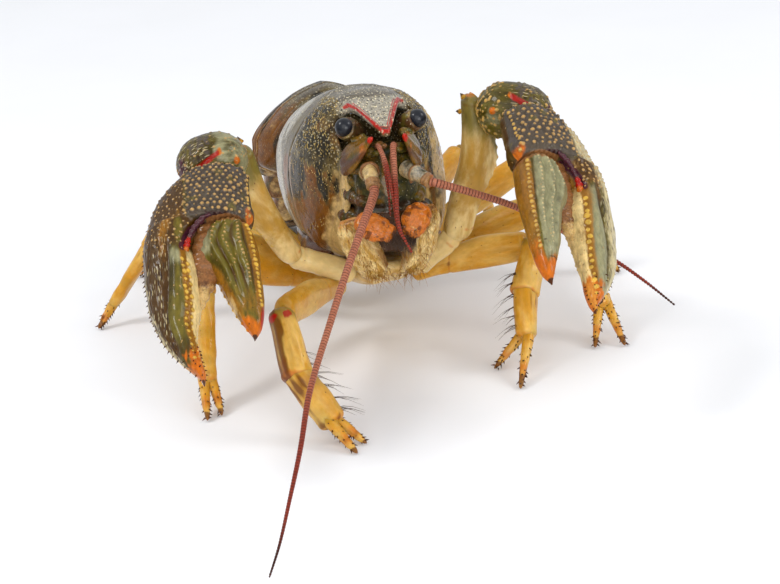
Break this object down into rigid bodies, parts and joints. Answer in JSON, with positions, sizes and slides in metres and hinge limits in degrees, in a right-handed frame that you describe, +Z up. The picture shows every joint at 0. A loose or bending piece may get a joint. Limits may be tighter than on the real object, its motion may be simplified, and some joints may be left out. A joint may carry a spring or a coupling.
{
  "type": "crayfish",
  "caption": "Whole raw freshwater crayfish standing on its walking legs, both claws held out in front, long antennae, plated abdomen arched down to its tail fan.",
  "frame": {"origin": "middle of the whole box, on the floor that the legs and the tail fan rest on", "axes": "the animal faces -Y, +Z is up, and its left side is at +X"},
  "size_m": [0.0886, 0.1468, 0.0427],
  "materials": {
    "shell": "glossy olive brown shell, finely pitted",
    "tail_shell": "glossy olive brown plates",
    "claw_shell": "satin green shell with raised golden granules",
    "limb_shell": "smooth cream shell",
    "leg_shell": "translucent amber shell",
    "face_shell": "dark green shell and membrane",
    "palp_shell": "orange shell with bristles",
    "cornea": "black and wet",
    "feeler": "ringed red brown whip"
  },
  "bodies": {
    "root": {"abdomen_1": "shell", "abdomen_2": "shell", "abdomen_3": "shell", "abdomen_4": "shell", "abdomen_5": "shell", "abdomen_6": "shell", "antenna_base_left": "limb_shell", "antenna_base_right": "limb_shell", "antenna_left": "feeler", "antenna_right": "feeler", "antennal_scale_left": "shell", "antennal_scale_right": "shell", "antennule_left_inner": "feeler", "antennule_left_outer": "feeler", "antennule_right_inner": "feeler", "antennule_right_outer": "feeler", "carapace": "shell", "chest": "limb_shell", "claw_carpus_left": "claw_shell", "claw_carpus_right": "claw_shell", "claw_finger_left": "claw_shell", "claw_finger_right": "claw_shell", "claw_ischium_left": "limb_shell", "claw_ischium_right": "limb_shell", "claw_merus_left": "limb_shell", "claw_merus_right": "limb_shell", "claw_palm_left": "claw_shell", "claw_palm_right": "claw_shell", "eye_left": "cornea", "eye_right": "cornea", "eyestalk_left": "face_shell", "eyestalk_right": "face_shell", "head": "face_shell", "leg_2_left_lower": "leg_shell", "leg_2_left_upper": "leg_shell", "leg_2_right_lower": "leg_shell", "leg_2_right_upper": "leg_shell", "leg_3_left_lower": "leg_shell", "leg_3_left_upper": "leg_shell", "leg_3_right_lower": "leg_shell", "leg_3_right_upper": "leg_shell", "leg_4_left_lower": "leg_shell", "leg_4_left_upper": "leg_shell", "leg_4_right_lower": "leg_shell", "leg_4_right_upper": "leg_shell", "leg_5_left_lower": "leg_shell", "leg_5_left_upper": "leg_shell", "leg_5_right_lower": "leg_shell", "leg_5_right_upper": "leg_shell", "mouth_palp_left": "palp_shell", "mouth_palp_right": "palp_shell", "mouth_plate_left": "limb_shell", "mouth_plate_right": "limb_shell", "tail_inner_left": "tail_shell", "tail_inner_right": "tail_shell", "tail_outer_left": "tail_shell", "tail_outer_right": "tail_shell", "telson": "tail_shell"}
  },
  "joints": []
}
